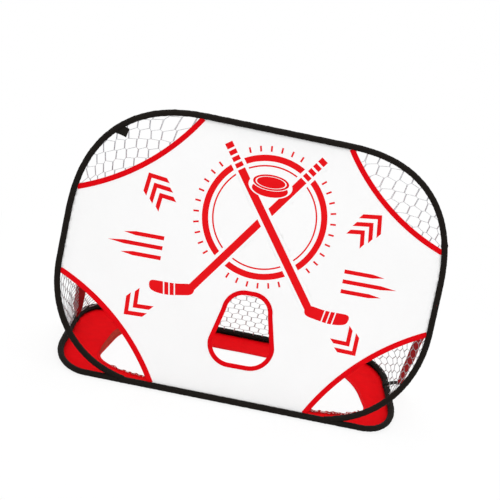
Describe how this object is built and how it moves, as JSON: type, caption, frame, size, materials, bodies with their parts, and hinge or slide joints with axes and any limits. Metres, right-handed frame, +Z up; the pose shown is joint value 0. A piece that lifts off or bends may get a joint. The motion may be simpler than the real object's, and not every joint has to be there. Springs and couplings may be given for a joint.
{
  "type": "hockey training goal",
  "caption": "Pop-up hockey practice goal: a leaning spring-wire hoop with a target sheet and cut-out corners, hinged on a flat base hoop with a ground mat, a net and side stays.",
  "frame": {"origin": "on the floor, under the middle of the whole goal's box", "axes": "+Z up, +X to the right of a viewer who faces the mouth, +Y from the mouth to the rear"},
  "size_m": [1.22, 0.599, 0.8746],
  "materials": {
    "black_sleeve_fabric": "matt black woven polyester sleeve and webbing",
    "red_fabric": "bright red woven polyester, semi-matt",
    "white_sheet_fabric": null,
    "net_cord": "pale grey knitted polyester net",
    "spring_steel": "bare spring steel wire",
    "crimp_steel": "plated steel ferrule"
  },
  "bodies": {
    "base": {"base_wire": "spring_steel", "base_wire_ferrule": "crimp_steel", "base_sleeve": "black_sleeve_fabric", "hinge_sleeve": "black_sleeve_fabric", "ground_mat": "red_fabric", "mat_inner_tape": "red_fabric", "net_back": "net_cord", "net_left_side": "net_cord", "net_right_side": "net_cord", "left_stay_strap": "red_fabric", "right_stay_strap": "red_fabric", "left_strap_anchor": "black_sleeve_fabric", "right_strap_anchor": "black_sleeve_fabric"},
    "front": {"front_wire": "spring_steel", "front_wire_ferrule": "crimp_steel", "front_sleeve": "black_sleeve_fabric", "target_sheet": "white_sheet_fabric", "top_left_binding": "red_fabric", "top_right_binding": "red_fabric", "bottom_left_binding": "red_fabric", "bottom_right_binding": "red_fabric", "five_hole_binding": "red_fabric", "hang_tab": "black_sleeve_fabric"}
  },
  "joints": [
    {"name": "front_fold", "type": "hinge", "parent": "base", "child": "front", "pos_m": [0, -0.2885, 0.011], "axis": [1, 0, 0], "range_deg": [-70, 0], "stiffness_Nm_per_rad": 4, "springref_deg": 34.38, "deforming": ["net_back", "net_left_side", "net_right_side", "left_stay_strap", "right_stay_strap"]}
  ]
}
